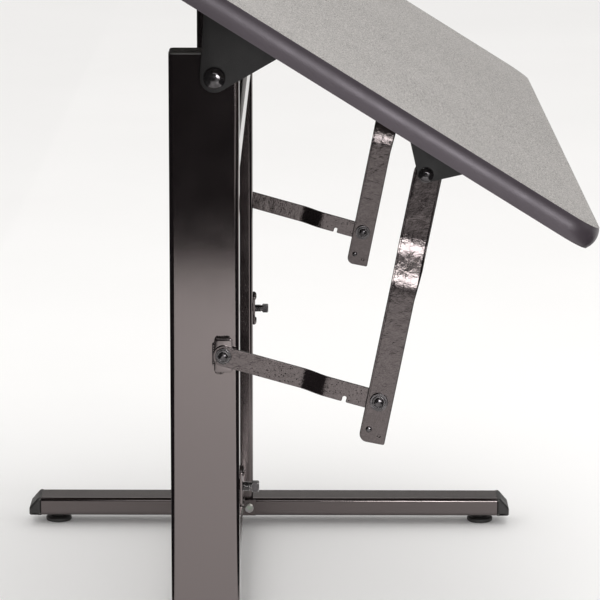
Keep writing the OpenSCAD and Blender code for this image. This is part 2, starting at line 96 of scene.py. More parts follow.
# The top's own frame: origin on the hinge line, X along the top to the front, Z out of its face
ON_TOP = Matrix.Translation((HINGE.x, 0, HINGE.z)) @ Matrix.Rotation(TILT, 4, "Y")
UNDER = 0.065
TOP_T = 0.0254
POST_WIDE, POST_THICK = 0.0762, 0.0381
ARM_DROP = 0.0318
ARM_ALONG = (ON_TOP.inverted() @ Vector((ARM_PIN.x, 0, ARM_PIN.z))).x

# Screws and their holes under the top
SCREW_HOLE = 0.0026
HINGE_SCREW = (0.045, 0.033)
BRACE_SCREW_OUT = 0.030
BRACE_SCREW_IN = 0.017

TINY = 1e-7
TINY_AREA = 1e-13


def on_bar(pivot, angle, y):
    """Frame of a bar: origin at its pivot, X along the bar, -Y out towards the rivets' heads."""
    return Matrix.Translation((pivot.x, y, pivot.z)) @ Matrix.Rotation(-angle, 4, "Y")


# ---- node materials ----

class Tree:
    """Short way to write a material's node tree."""

    def __init__(self, name):
        self.material = bpy.data.materials.new(name)
        self.material.use_nodes = True
        self.tree = self.material.node_tree
        self.tree.nodes.clear()
        self.out = self.add("ShaderNodeOutputMaterial")
        self.shader = self.add("ShaderNodeBsdfPrincipled")
        self.link(self.shader.outputs[0], self.out.inputs[0])
        self.place = self.add("ShaderNodeTexCoord").outputs["Object"]

    def add(self, kind, **settings):
        made = self.tree.nodes.new(kind)
        for key, value in settings.items():
            setattr(made, key, value)
        return made

    def link(self, a, b):
        self.tree.links.new(a, b)

    def put(self, socket, value):
        if isinstance(value, bpy.types.NodeSocket):
            self.link(value, socket)
        else:
            socket.default_value = value

    def noise(self, scale, detail=2.0, rough=0.5, stretch=None):
        made = self.add("ShaderNodeTexNoise")
        self.put(made.inputs["Vector"], self.stretched(stretch))
        for key, value in (("Scale", scale), ("Detail", detail), ("Roughness", rough)):
            made.inputs[key].default_value = value
        return made.outputs[0]

    def voronoi(self, scale, stretch=None):
        made = self.add("ShaderNodeTexVoronoi")
        self.put(made.inputs["Vector"], self.stretched(stretch))
        made.inputs["Scale"].default_value = scale
        return made

    def stretched(self, stretch):
        if stretch is None:
            return self.place
        mapping = self.add("ShaderNodeMapping")
        self.link(self.place, mapping.inputs["Vector"])
        mapping.inputs["Scale"].default_value = stretch
        return mapping.outputs[0]

    def range(self, value, low, high, to_low, to_high):
        made = self.add("ShaderNodeMapRange")
        self.put(made.inputs["Value"], value)
        for key, number in (("From Min", low), ("From Max", high), ("To Min", to_low), ("To Max", to_high)):
            made.inputs[key].default_value = number
        return made.outputs[0]

    def mix(self, share, a, b, blend="MIX"):
        made = self.add("ShaderNodeMix", data_type="RGBA", blend_type=blend)
        self.put(made.inputs[0], share)
        self.put(made.inputs[6], a if isinstance(a, bpy.types.NodeSocket) else (*a, 1))
        self.put(made.inputs[7], b if isinstance(b, bpy.types.NodeSocket) else (*b, 1))
        return made.outputs[2]

    def maths(self, operation, a, b=0.0):
        made = self.add("ShaderNodeMath", operation=operation)
        self.put(made.inputs[0], a)
        self.put(made.inputs[1], b)
        return made.outputs[0]

    def bump(self, height, distance, after=None):
        made = self.add("ShaderNodeBump")
        made.inputs["Strength"].default_value = 1.0
        made.inputs["Distance"].default_value = distance
        self.put(made.inputs["Height"], height)
        if after is not None:
            self.link(after, made.inputs["Normal"])
        return made.outputs[0]

    def edges(self, radius):
        """1 on rounded edges and 0 on flat faces, for wear."""
        bevel = self.add("ShaderNodeBevel", samples=4)
        bevel.inputs["Radius"].default_value = radius
        flat = self.add("ShaderNodeNewGeometry").outputs["True Normal"]
        same = self.add("ShaderNodeVectorMath", operation="DOT_PRODUCT")
        self.link(bevel.outputs[0], same.inputs[0])
        self.link(flat, same.inputs[1])
        return self.range(same.outputs["Value"], 0.995, 0.86, 0.0, 1.0)

    def finish(self, **sockets):
        for key, value in sockets.items():
            socket = self.shader.inputs[key.replace("_", " ")]
            if not isinstance(value, bpy.types.NodeSocket) and hasattr(value, "__len__"):
                value = (*value, 1)
            self.put(socket, value)
        return self.material


ENAMEL_TINT = (1.0, 0.87, 0.86)


def black_enamel():
    """Stoved gloss enamel on tube: fine orange peel, a few dust nibs, rubbed edges."""
    t = Tree("black_enamel")
    cloud = t.noise(9, 3)
    grain = t.noise(900, 2, 0.6)
    colour = t.mix(cloud, (0.0036, 0.0028, 0.0030), (0.0060, 0.0046, 0.0048))
    colour = t.mix(t.range(t.edges(0.0012), 0.3, 1.0, 0.0, 0.5), colour, (0.035, 0.031, 0.028))
    nibs = t.range(t.voronoi(260).outputs["Distance"], 0.0, 0.1, 1.0, 0.0)
    return t.finish(
        Base_Color=colour, Roughness=t.range(t.noise(26, 3), 0.3, 0.7, 0.07, 0.10), IOR=2.22,
        Specular_Tint=ENAMEL_TINT, Normal=t.bump(nibs, 0.00002, after=t.bump(grain, 0.000012)),
    )


def bar_enamel(name="bar_enamel", pinholes=False):
    """Thick dipped gloss enamel on the flat bars: soft waves and fine orange peel, or pinholes too."""
    t = Tree(name)
    colour = t.mix(t.noise(60, 3), (0.0052, 0.0040, 0.0042), (0.0095, 0.0076, 0.0078))
    colour = t.mix(t.range(t.edges(0.0006), 0.3, 1.0, 0.0, 0.4), colour, (0.05, 0.045, 0.043))
    grain = t.noise(720, 2)
    gloss = t.range(grain, 0.3, 0.7, 0.40, 0.60)
    if pinholes:
        holes = t.range(t.voronoi(300).outputs["Distance"], 0.17, 0.24, 0.0, 1.0)
        patches = t.range(t.noise(26, 2), 0.36, 0.45, 1.0, 0.0)
        gloss = t.maths("MULTIPLY", gloss, t.maths("MAXIMUM", holes, patches))
    normal = t.bump(t.noise(48, 2), 0.00035)
    normal = t.bump(t.noise(125, 2), 0.00026, after=normal)
    normal = t.bump(grain, 0.00009, after=normal)
    return t.finish(
        Base_Color=colour, Roughness=t.range(t.noise(90, 3), 0.3, 0.7, 0.08, 0.12),
        IOR=1.90 if pinholes else 1.80, Specular_IOR_Level=gloss, Specular_Tint=ENAMEL_TINT,
        Normal=normal,
    )


def bracket_black():
    """Flat black on pressed steel."""
    t = Tree("bracket_black")
    colour = t.mix(t.noise(70, 4), (0.004, 0.0035, 0.0036), (0.009, 0.0078, 0.0080))
    colour = t.mix(t.range(t.edges(0.0006), 0.3, 1.0, 0.0, 0.5), colour, (0.06, 0.055, 0.052))
    normal = t.bump(t.noise(700, 3, 0.6), 0.00014)
    return t.finish(
        Base_Color=colour, Roughness=t.range(t.noise(45, 3), 0.3, 0.7, 0.36, 0.48), IOR=1.32, Normal=normal,
    )


def rivet_black():
    """Polished black-oxide steel, thinner and brighter at its turned edges."""
    t = Tree("rivet_black")
    burnished = t.range(t.noise(190, 2), 0.45, 0.65, 0.0, 1.0)
    colour = t.mix(burnished, (0.060, 0.056, 0.058), (0.10, 0.094, 0.097))
    colour = t.mix(t.range(t.edges(0.0005), 0.2, 1.0, 0.0, 0.9), colour, (0.72, 0.70, 0.69))
    return t.finish(
        Base_Color=colour, Metallic=0.9, Roughness=t.range(t.noise(300, 2), 0.3, 0.7, 0.08, 0.16),
        Normal=t.bump(t.noise(800, 2), 0.00003),
    )


def zinc_steel():
    """Bright zinc plate with drawing lines along Z and a faint yellow cast."""
    t = Tree("zinc_steel")
    lines = t.noise(60, 3, 0.6, stretch=(18, 18, 0.25))
    spangle = t.voronoi(160).outputs["Color"]
    colour = t.mix(t.noise(30, 3), (0.42, 0.42, 0.41), (0.56, 0.55, 0.52))
    colour = t.mix(0.08, colour, spangle, "OVERLAY")
    colour = t.mix(t.range(t.noise(14, 4), 0.55, 0.75, 0.0, 0.5), colour, (0.33, 0.30, 0.25))
    rough = t.maths("ADD", t.range(lines, 0.3, 0.7, 0.0, 0.12), t.range(t.noise(20, 3), 0.3, 0.7, 0.24, 0.36))
    return t.finish(
        Base_Color=colour, Metallic=1.0, Roughness=rough, Normal=t.bump(lines, 0.00008),
    )


def black_plastic():
    """Moulded polypropylene with a fine leather grain, scuffed at its edges."""
    t = Tree("black_plastic")
    grain = t.voronoi(900).outputs["Distance"]
    colour = t.mix(t.noise(25, 4), (0.017, 0.016, 0.016), (0.027, 0.025, 0.024))
    colour = t.mix(t.range(t.edges(0.001), 0.2, 1.0, 0.0, 0.45), colour, (0.085, 0.080, 0.075))
    return t.finish(
        Base_Color=colour, Roughness=t.range(t.noise(60, 3), 0.3, 0.7, 0.38, 0.52), IOR=1.5,
        Normal=t.bump(grain, 0.00016),
    )


def particle_board():
    """Chips of pale wood in resin."""
    t = Tree("particle_board")
    chips = t.voronoi(420, stretch=(1, 1.6, 2.6))
    tone = t.mix(chips.outputs["Color"], (0.20, 0.125, 0.065), (0.52, 0.37, 0.22))
    colour = t.mix(t.noise(1200, 3), tone, (0.30, 0.20, 0.11), "OVERLAY")
    return t.finish(
        Base_Color=colour, Roughness=0.85, Normal=t.bump(chips.outputs["Distance"], 0.0005),
    )


def grey_laminate():
    """Matt decorative laminate: pressed texture, fine two-tone speckle, faint rub marks."""
    t = Tree("grey_laminate")
    speck = t.noise(520, 2, 0.7)
    colour = t.mix(t.range(speck, 0.36, 0.64, 0.0, 1.0), (0.085, 0.081, 0.077), (0.545, 0.519, 0.499))
    pits = t.range(t.voronoi(520).outputs["Distance"], 0.0, 0.16, 0.5, 0.0)
    colour = t.mix(pits, colour, (0.18, 0.172, 0.166))
    colour = t.mix(t.range(t.noise(5, 4), 0.4, 0.7, 0.0, 0.25), colour, (0.43, 0.41, 0.395))
    rub = t.noise(22, 4, 0.6, stretch=(1, 0.12, 1))
    normal = t.bump(t.noise(420, 3, 0.55), 0.00018)
    return t.finish(
        Base_Color=colour, Roughness=t.range(rub, 0.3, 0.75, 0.44, 0.58), IOR=1.5,
        Normal=t.bump(speck, 0.00005, after=normal),
    )


def backing_sheet():
    """Brown-black balancing paper with a fibrous face."""
    t = Tree("backing_sheet")
    fibre = t.noise(160, 5, 0.65, stretch=(1, 0.15, 1))
    colour = t.mix(t.range(fibre, 0.35, 0.65, 0.0, 1.0), (0.040, 0.031, 0.026), (0.068, 0.054, 0.045))
    return t.finish(
        Base_Color=colour, Roughness=t.range(t.noise(40, 3), 0.3, 0.7, 0.55, 0.7), IOR=1.45,
        Normal=t.bump(fibre, 0.0002),
    )


def edge_vinyl():
    """Extruded charcoal vinyl: satin, with faint die lines along the band."""
    t = Tree("edge_vinyl")
    grain = t.noise(750, 3, 0.6)
    colour = t.mix(t.noise(18, 4), (0.027, 0.0205, 0.0255), (0.038, 0.030, 0.036))
    normal = t.bump(grain, 0.00010)
    normal = t.bump(t.noise(260, 2, 0.5, stretch=(0.05, 0.05, 6)), 0.00008, after=normal)
    return t.finish(
        Base_Color=colour, Roughness=t.range(t.noise(35, 4), 0.3, 0.7, 0.35, 0.43), IOR=1.65,
        Specular_Tint=(1.0, 0.93, 1.0), Normal=normal,
    )


MATERIALS = {
    make.__name__: make()
    for make in (
        black_enamel, bar_enamel, bracket_black, rivet_black, zinc_steel, black_plastic,
        particle_board, grey_laminate, backing_sheet, edge_vinyl,
    )
}
PINHOLED = bar_enamel("bar_enamel_pinholed", pinholes=True)

for node in NODES.values():
    for index, material in enumerate(node.data.materials):
        node.data.materials[index] = MATERIALS[material.name.split(".")[0]]


# ---- mesh helpers ----

def fillet(corners, steps=6):
    """Closed outline from (x, y, radius) corners, each turned into an arc."""
    points = []
    for i, (x, y, radius) in enumerate(corners):
        here = Vector((x, y))
        a = Vector(corners[i - 1][:2]) - here
        b = Vector(corners[(i + 1) % len(corners)][:2]) - here
        half = a.angle(b) / 2
        if radius <= 0 or half > math.radians(89):
            points.append(here)
            continue
        back = radius / math.tan(half)
        middle = here + (a.normalized() + b.normalized()).normalized() * (radius / math.sin(half))
        start = here + a.normalized() * back - middle
        turn = math.pi - 2 * half
        side = 1 if a.x * b.y - a.y * b.x < 0 else -1
        for k in range(steps + 1):
            angle = side * turn * k / steps
            c, s = math.cos(angle), math.sin(angle)
            points.append(middle + Vector((start.x * c - start.y * s, start.x * s + start.y * c)))
    return points


def ring(x, y, radius, steps=32):
    return [
        Vector((x + radius * math.cos(math.tau * k / steps), y + radius * math.sin(math.tau * k / steps)))
        for k in range(steps)
    ]


def area(loop):
    return sum(a.x * b.y - b.x * a.y for a, b in zip(loop, loop[1:] + loop[:1])) / 2


def inset(loop, distance):
    """The loop moved into the material by distance, its corners mitred."""
    out = []
    for i, here in enumerate(loop):
        before = (here - loop[i - 1]).normalized()
        after = (loop[(i + 1) % len(loop)] - here).normalized()
        n1, n2 = Vector((before.y, -before.x)), Vector((after.y, -after.x))
        out.append(here - (n1 + n2) / max(0.4, 1 + n1.dot(n2)) * distance)
    return out


def rounded_edge(z0, z1, radius, steps=3):
    """(inset, z) rings from z0 up to z1 with both rims rounded."""
    arc = [math.pi / 2 * k / steps for k in range(steps + 1)]
    low = [(radius * (1 - math.sin(a)), z0 + radius * (1 - math.cos(a))) for a in arc]
    high = [(radius * (1 - math.sin(a)), z1 - radius * (1 - math.cos(a))) for a in reversed(arc)]
    return low + high


def slab(mesh, outline, rings, holes=(), at=None):
    """Adds a plate to bmesh mesh: outline and holes in XY, raised through the (inset, z) rings."""
    loops = [outline if area(outline) > 0 else outline[::-1]]
    loops += [h if area(h) < 0 else h[::-1] for h in holes]
    at = at or Matrix.Identity(4)
    caps = {0: [], len(rings) - 1: []}
    for loop in loops:
        levels = []
        for k, (distance, z) in enumerate(rings):
            flat = inset(loop, distance)
            row = [mesh.verts.new(at @ Vector((p.x, p.y, z))) for p in flat]
            levels.append(row)
            if k in caps:
                caps[k].append((flat, row))
        for low, high in zip(levels, levels[1:]):
            for i in range(len(loop)):
                j = (i + 1) % len(loop)
                mesh.faces.new((low[i], low[j], high[j], high[i]))
    for k, found in caps.items():
        row = [v for _, verts in found for v in verts]
        for a, b, c in tessellate_polygon([[Vector((*p, 0)) for p in flat] for flat, _ in found]):
            p, q, r = row[a].co, row[b].co, row[c].co
            if (q - p).cross(r - p).length < TINY_AREA:
                continue
            up = (at.to_3x3() @ Vector((0, 0, 1))).dot((q - p).cross(r - p)) > 0
            order = (a, b, c) if up == (k > 0) else (c, b, a)
            try:
                mesh.faces.new([row[i] for i in order])
            except ValueError:
                pass


def lathe(mesh, profile, at=None, segments=56):
    """Adds a turned piece to bmesh mesh: (radius, z) profile, bottom's middle to top's middle."""
    at = at or Matrix.Identity(4)
    rows = []
    for radius, z in profile:
        if radius < TINY:
            rows.append([mesh.verts.new(at @ Vector((0, 0, z)))])
        else:
            rows.append([
                mesh.verts.new(at @ Vector((radius * math.cos(a), radius * math.sin(a), z)))
                for a in (math.tau * k / segments for k in range(segments))
            ])
    for low, high in zip(rows, rows[1:]):
        for i in range(segments):
            j = (i + 1) % segments
            corners = [low[i % len(low)], low[j % len(low)], high[j % len(high)], high[i % len(high)]]
            unique = list(dict.fromkeys(corners))
            if len(unique) > 2:
                mesh.faces.new(unique)


def turned_profile(points):
    """Open profile from (radius, z, rounding) points, its ends left sharp."""
    closed = fillet([*points, (-0.05, points[-1][1], 0), (-0.05, points[0][1], 0)], 4)
    return [(max(0.0, p.x), p.y) for p in closed if p.x > -0.01]


def bead(mesh, a, b, radius, out, lift=0.0, seed=0.0):
    """Adds a weld bead from a to b: overlapping ripples, uneven width, rounded ends."""
    pitch = 0.0026
    a, b, out = Vector(a), Vector(b), Vector(out).normalized()
    along = (b - a).normalized()
    side = along.cross(out)
    length = (b - a).length
    count = max(12, int(length / 0.0005))
    around = 24
    rows = []
    for i in range(count + 1):
        s = length * i / count
        end = min(s, length - s) / radius
        taper = math.sqrt(max(0.02, 1 - max(0.0, 1 - end) ** 2))
        wander = noise.noise(Vector((s * 160, seed, 0)))
        row = []
        for j in range(around):
            angle = math.tau * j / around
            phase = math.tau * (s / pitch + 0.55 * math.sin(angle) ** 2 + seed)
            scale = 1 + 0.13 * math.cos(phase) + 0.12 * wander
            grain = 0.05 * noise.noise(Vector((s * 900, angle * 2, seed)))
            r = radius * taper * (scale + grain)
            place = a + along * s + side * (r * math.sin(angle)) + out * (r * math.cos(angle) * 0.8 + lift)
            row.append(mesh.verts.new(place))
        rows.append(row)
    for low, high in zip(rows, rows[1:]):
        for j in range(around):
            k = (j + 1) % around
            mesh.faces.new((low[j], high[j], high[k], low[k]))
    mesh.faces.new(rows[0])
    mesh.faces.new(rows[-1][::-1])


def prism(mesh, sides, radius, z0, z1, at=None, chamfer_low=False):
    """Adds a square or hexagon head of that inner radius, its top cut by a cone, and its bottom if told."""
    at = at or Matrix.Identity(4)
    reach = radius / math.cos(math.pi / sides)
    rounding, per_side, levels = 0.0004, 12, 28
    angles = [math.tau * (k + 0.5) / sides for k in range(sides)]
    corners = [(reach * math.cos(a), reach * math.sin(a), rounding) for a in angles]
    dense = []
    outline = fillet(corners, 3)
    for p, q in zip(outline, outline[1:] + outline[:1]):
        parts = per_side if (q - p).length > radius * 0.5 else 1
        dense += [p.lerp(q, k / parts) for k in range(parts)]
    rows = []
    for z in [z0 + (z1 - z0) * k / levels for k in range(levels + 1)]:
        limit = radius * 0.96 + (z1 - z) * 1.75
        if chamfer_low:
            limit = min(limit, radius * 0.96 + (z - z0) * 1.75)
        cut = [p if p.length < limit else p.normalized() * limit for p in dense]
        rows.append([mesh.verts.new(at @ Vector((*p, z))) for p in cut])
    for low, high in zip(rows, rows[1:]):
        for i in range(len(dense)):
            j = (i + 1) % len(dense)
            mesh.faces.new((low[i], low[j], high[j], high[i]))
    mesh.faces.new(rows[0][::-1])
    mesh.faces.new(rows[-1])


def thread(mesh, radius, z0, z1, pitch, at):
    """Adds a screw thread as a helical surface between z0 and z1."""
    segments = 48
    depth = 0.55 * pitch
    count = int((z1 - z0) / pitch * 14)
    rows = []
    for i in range(count + 1):
        z = z0 + (z1 - z0) * i / count
        row = []
        for k in range(segments):
            turn = k / segments
            phase = (z / pitch - turn) % 1.0
            tooth = min(1.0, 2.4 * min(phase, 1 - phase))
            r = radius - depth * (1 - tooth)
            angle = math.tau * turn
            row.append(mesh.verts.new(at @ Vector((r * math.cos(angle), r * math.sin(angle), z))))
        rows.append(row)
    for low, high in zip(rows, rows[1:]):
        for k in range(segments):
            j = (k + 1) % segments
            mesh.faces.new((low[k], low[j], high[j], high[k]))
    mesh.faces.new(rows[0][::-1])
    mesh.faces.new(rows[-1])


def cut_along(mesh, low, high, count, axis=(1, 0, 0)):
    """Cuts bmesh mesh square to an axis at even stations, so that it can be bent there."""
    for k in range(count + 1):
        place = Vector(axis) * (low + (high - low) * k / count)
        geometry = mesh.verts[:] + mesh.edges[:] + mesh.faces[:]
        bmesh.ops.bisect_plane(mesh, geom=geometry, plane_co=place, plane_no=axis, dist=TINY)


def smooth_step(x):
    x = min(1.0, max(0.0, x))
    return x * x * x * (x * (6 * x - 15) + 10)


def piece(name, mesh, body, slot, replaces=(), sharp=38, weighted=True, material=None):
    """Turns bmesh mesh into an object that rides on a body and stands for CAD nodes."""
    bmesh.ops.recalc_face_normals(mesh, faces=mesh.faces[:])
    data = bpy.data.meshes.new(name)
    mesh.to_mesh(data)
    mesh.free()
    data.materials.append(material or MATERIALS[slot])
    data.shade_smooth()
    data.set_sharp_from_angle(angle=math.radians(sharp))
    made = bpy.data.objects.new(name, data)
    bpy.context.scene.collection.objects.link(made)
    if weighted:
        made.modifiers.new("flat_faces", "WEIGHTED_NORMAL").keep_sharp = True
    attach(made, body)
    if replaces:
        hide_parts(*replaces)
    return made


FACE_OUT = Matrix.Rotation(math.pi / 2, 4, "X")     # XY drawing to the XZ plane, raised towards -Y


# ---- brace bars ----

def bent(mesh, start, end, w0, w1):
    """Bends a bar drawn in XY, raised in Z, sideways from w0 to w1 between two stations."""
    cut_along(mesh, start, end, 20)
    for v in mesh.verts:
        share = (v.co.x - start) / (end - start)
        slope = (smooth_step(share + 0.01) - smooth_step(share - 0.01)) / 0.02 * (w1 - w0) / (end - start)
        lean = 1 / math.sqrt(1 + slope * slope)
        height = v.co.z - BAR_T / 2
        v.co.x -= height * slope * lean
        v.co.z = BAR_T / 2 + w0 + (w1 - w0) * smooth_step(share) + height * lean


def arm_outline():
    rear, front, wide, tail = 0.0135, 0.0156, 0.0180, 0.047
    corners = [
        (-tail, -front, 0.002), (0.118, -front, 0.05), (0.152, -wide, 0.05),
        (ARM_LEN + 0.0157, -wide, 0.0155), (ARM_LEN + 0.0157, rear, 0.0155), (-tail, rear, 0.009),
    ]
    return fillet(corners, 12)


def arm(side):
    mesh = bmesh.new()
    dimple = (-0.0378, -0.0078)
    holes = [ring(*dimple, 0.0016, 20)]
    slab(mesh, arm_outline(), rounded_edge(0, BAR_T, 0.0007), holes)
    bend, end = 0.118, 0.194
    crown = 0.0011
    cut_along(mesh, -0.0115, 0.0115, 6, axis=(0, 1, 0))
    for v in mesh.verts:
        share = min(1.0, max(0.0, (v.co.x - bend) / (end - bend)))
        v.co.z -= crown * math.sin(math.pi * share) ** 2 * ((v.co.y + 0.004) / 0.015) ** 2
    bent(mesh, bend, end, ARM_LOW, ARM_HIGH)
    slab(mesh, ring(*dimple, 0.0018, 20), [(0, ARM_LOW + 0.0006), (0, ARM_LOW + 0.0014)])
    mesh.transform(on_bar(KNEE, ARM_ANGLE, BRACE_Y[side]) @ FACE_OUT)
    return piece(f"arm_{side}_bar", mesh, f"arm_{side}", "bar_enamel", [f"arm_{side}"])


def link_outline():
    half, soft, lip = 0.01125, 0.0110, 0.0014
    end = LINK_LEN + half
    notch_u, notch_r, notch_in, inner = LINK_LEN - 0.037, 0.0023, -0.007, 0.00228
    corners = [
        (-half, -half, soft), (notch_u - notch_r, -half, lip),
        (notch_u - notch_r, notch_in + notch_r, inner), (notch_u + notch_r, notch_in + notch_r, inner),
        (notch_u + notch_r, -half, lip), (end, -half, soft), (end, half, soft), (-half, half, soft),
    ]
    return fillet(corners, 10)


def link(side):
    mesh = bmesh.new()
    slab(mesh, link_outline(), rounded_edge(0, BAR_T, 0.0006))
    bent(mesh, 0.086, 0.122, LINK_BACK, LINK_FRONT)
    mesh.transform(on_bar(LINK_PIN, LINK_ANGLE, BRACE_Y[side]) @ FACE_OUT)
    return piece(f"link_{side}_bar", mesh, f"link_{side}", "bar_enamel", [f"link_{side}"], material=PINHOLED)


for side in SIDES:
    arm(side)
    link(side)

# ---- rivets and pins of the braces ----

def turned_piece(name, places, points, body, slot, replaces):
    """One turned piece, or a set of them, from (radius, z, rounding) points."""
    mesh = bmesh.new()
    for place in places:
        lathe(mesh, turned_profile(points), place)
    return piece(name, mesh, body, slot, replaces, sharp=50)


def facing(x, y, z, out):
    """Frame with Z along +Y or -Y, for pins across the table."""
    return Matrix.Translation((x, y, z)) @ Matrix.Rotation(-out * math.pi / 2, 4, "X")


for side in SIDES:
    outward = SIGN[side]
    head = TAB_T + 0.0005 + BAR_T + 0.0003
    turned_piece(
        f"link_rivet_{side}_set", [facing(LINK_PIN.x, POST_FACE[side], LINK_PIN.z, outward)],
        [
            (0, 0, 0), (0.004, 0, 0.0002), (0.004, head, 0), (0.0088, head, 0.0003),
            (0.0088, head + 0.0012, 0.0005), (0.0074, head + 0.0010, 0.0002),
            (0.0072, head + 0.0022, 0.0004),
            (0.0058, head + 0.0022, 0.0004), (0.0056, head + 0.0014, 0.0002),
            (0.0050, head + 0.0016, 0.0001), (0.0044, head + 0.0042, 0.0014),
            (0.0018, head + 0.0048, 0.001), (0, head + 0.0048, 0),
        ],
        "frame", "rivet_black", [f"link_rivet_{side}"],
    )
    face = ARM_LOW + BAR_T
    knee_place = facing(KNEE.x, BRACE_Y[side], KNEE.z, -1)
    turned_piece(
        f"joint_rivet_{side}_set", [knee_place],
        [
            (0, ARM_LOW - 0.0002, 0), (0.004, ARM_LOW - 0.0002, 0.0003), (0.004, face, 0),
            (0.0099, face, 0.0003), (0.0099, face + 0.0014, 0.0004), (0.0092, face + 0.0014, 0.0001),
            (0.0092, face + 0.0019, 0.0001),
            (0.0099, face + 0.0019, 0.0004), (0.0099, face + 0.0033, 0.0005),
            (0.0076, face + 0.0032, 0.0002),
            (0.0070, face + 0.0041, 0.0004), (0.0058, face + 0.0041, 0.0004),
            (0.0055, face + 0.0035, 0.0002),
            (0.0050, face + 0.0038, 0.0001), (0.0043, face + 0.0058, 0.0012),
            (0.0017, face + 0.0063, 0.001),
            (0, face + 0.0063, 0),
        ],
        f"arm_{side}", "rivet_black", [f"joint_rivet_{side}"],
    )
    turned_piece(
        f"link_tail_{side}_set", [knee_place],
        [
            (0, LINK_FRONT - 0.0026, 0), (0.0048, LINK_FRONT - 0.0026, 0.0012),
            (0.0065, LINK_FRONT - 0.0012, 0.0007), (0.0065, LINK_FRONT, 0.0001),
            (0.004, LINK_FRONT, 0), (0.004, ARM_LOW - 0.0005, 0.0002),
            (0, ARM_LOW - 0.0005, 0),
        ],
        f"link_{side}", "rivet_black", [f"link_tail_{side}"],
    )
    arm_frame = on_bar(KNEE, ARM_ANGLE, BRACE_Y[side])
    turned_piece(
        f"stop_pin_{side}_set", [arm_frame @ Matrix.Translation((-0.0324, 0, 0.0047)) @ FACE_OUT],
        [
            (0, ARM_LOW - 0.0002, 0), (0.0022, ARM_LOW - 0.0002, 0.0002), (0.0022, face, 0),
            (0.0033, face, 0.0002), (0.0033, face + 0.0006, 0.0004), (0.0026, face + 0.0016, 0.0008),
            (0.0008, face + 0.0019, 0.0006),
            (0, face + 0.0019, 0),
        ],
        f"arm_{side}", "rivet_black", [f"stop_pin_{side}"],
    )
    tail, dome = ARM_HIGH - 0.0003, GUSSET + BAR_T
    turned_piece(
        f"arm_rivet_{side}_set",
        [ON_TOP @ Matrix.Translation((ARM_ALONG, BRACE_Y[side], UNDER - ARM_DROP)) @ FACE_OUT],
        [
            (0, tail - 0.0024, 0), (0.0050, tail - 0.0024, 0.0010), (0.0065, tail - 0.0010, 0.0006),
            (0.0065, tail, 0.0001), (0.004, tail, 0), (0.004, dome, 0), (0.0084, dome, 0.0002),
            (0.0084, dome + 0.0010, 0.0004), (0.0076, dome + 0.0012, 0.0002),
            (0.0066, dome + 0.0031, 0.0030),
            (0.0036, dome + 0.0044, 0.0030), (0, dome + 0.0046, 0),
        ],
        "top", "rivet_black", [f"arm_rivet_{side}"],
    )


# ---- welded tabs and clamp plates ----

def oblong(width, height, radius):
    w, h = width / 2, height / 2
    return fillet([(-w, -h, radius), (w, -h, radius), (w, h, radius), (-w, h, radius)], 6)


def welded(node, mesh, body, slot):
    return piece(node + "_weldment", mesh, body, slot, [node], weighted=False)


def at_clamp(side):
    """Frame of a clamp plate, Z out of the post's front."""
    there = Matrix.Translation((POST_FRONT, POST_Y[side], CLAMP_Z))
    return there @ Matrix.Rotation(math.pi / 2, 4, "Y")


def brace_tab(side):
    width, height, out = 0.020, 0.038, SIGN[side]
    face = POST_FACE[side]
    mesh = bmesh.new()
    slab(
        mesh, oblong(width, height, 0.003), rounded_edge(0, TAB_T, 0.0007),
        at=facing(LINK_PIN.x, face, LINK_PIN.z, out),
    )
    rise = height / 2 - 0.0012
    for z, x0, x1, seed in ((rise, -0.0095, 0.0085, 0.3), (-rise, -0.0095, 0.0015, 2.1)):
        a, b = (LINK_PIN.x + x0, face, LINK_PIN.z + z), (LINK_PIN.x + x1, face, LINK_PIN.z + z)
        bead(mesh, a, b, 0.0038, (0, out, 0), lift=0.0002, seed=seed)
    ends = [(LINK_PIN.x - width / 2, face, LINK_PIN.z + z) for z in (-0.012, 0.014)]
    bead(mesh, *ends, 0.0022, (0, out, 0), lift=0.0008, seed=4.0)
    return welded(f"brace_tab_{side}", mesh, "frame", "black_enamel")


def clamp_plate(side):
    width, height, thick = 0.022, 0.039, 0.0032
    mesh = bmesh.new()
    slab(
        mesh, oblong(height, width, 0.0025), rounded_edge(0, thick, 0.0006), [ring(0, 0, 0.00535, 32)],
        at=at_clamp(side),
    )
    rise = height / 2 - 0.002
    for z, seed in ((rise, 1.2), (-rise, 5.6)):
        ends = [(POST_FRONT, POST_Y[side] + y, CLAMP_Z + z) for y in (-0.0102, 0.0102)]
        bead(mesh, *ends, 0.0043, (1, 0, 0), lift=0.0012, seed=seed)
    return welded(f"clamp_plate_{side}", mesh, "frame", "black_enamel")


def clamp_screw(side):
    place = at_clamp(side)
    mesh = bmesh.new()
    thread(mesh, 0.0053, -0.002, 0.0112, 0.0016, place)
    neck = [(0, 0.0110, 0), (0.0043, 0.0110, 0), (0.0043, 0.0131, 0), (0, 0.0131, 0)]
    lathe(mesh, turned_profile(neck), place)
    prism(mesh, 4, 0.0053, 0.0130, 0.0215, place, chamfer_low=True)
    node = f"clamp_screw_{side}"
    return piece(node + "_turned", mesh, node, "rivet_black", [node])


for side in SIDES:
    brace_tab(side)
    clamp_plate(side)
    clamp_screw(side)

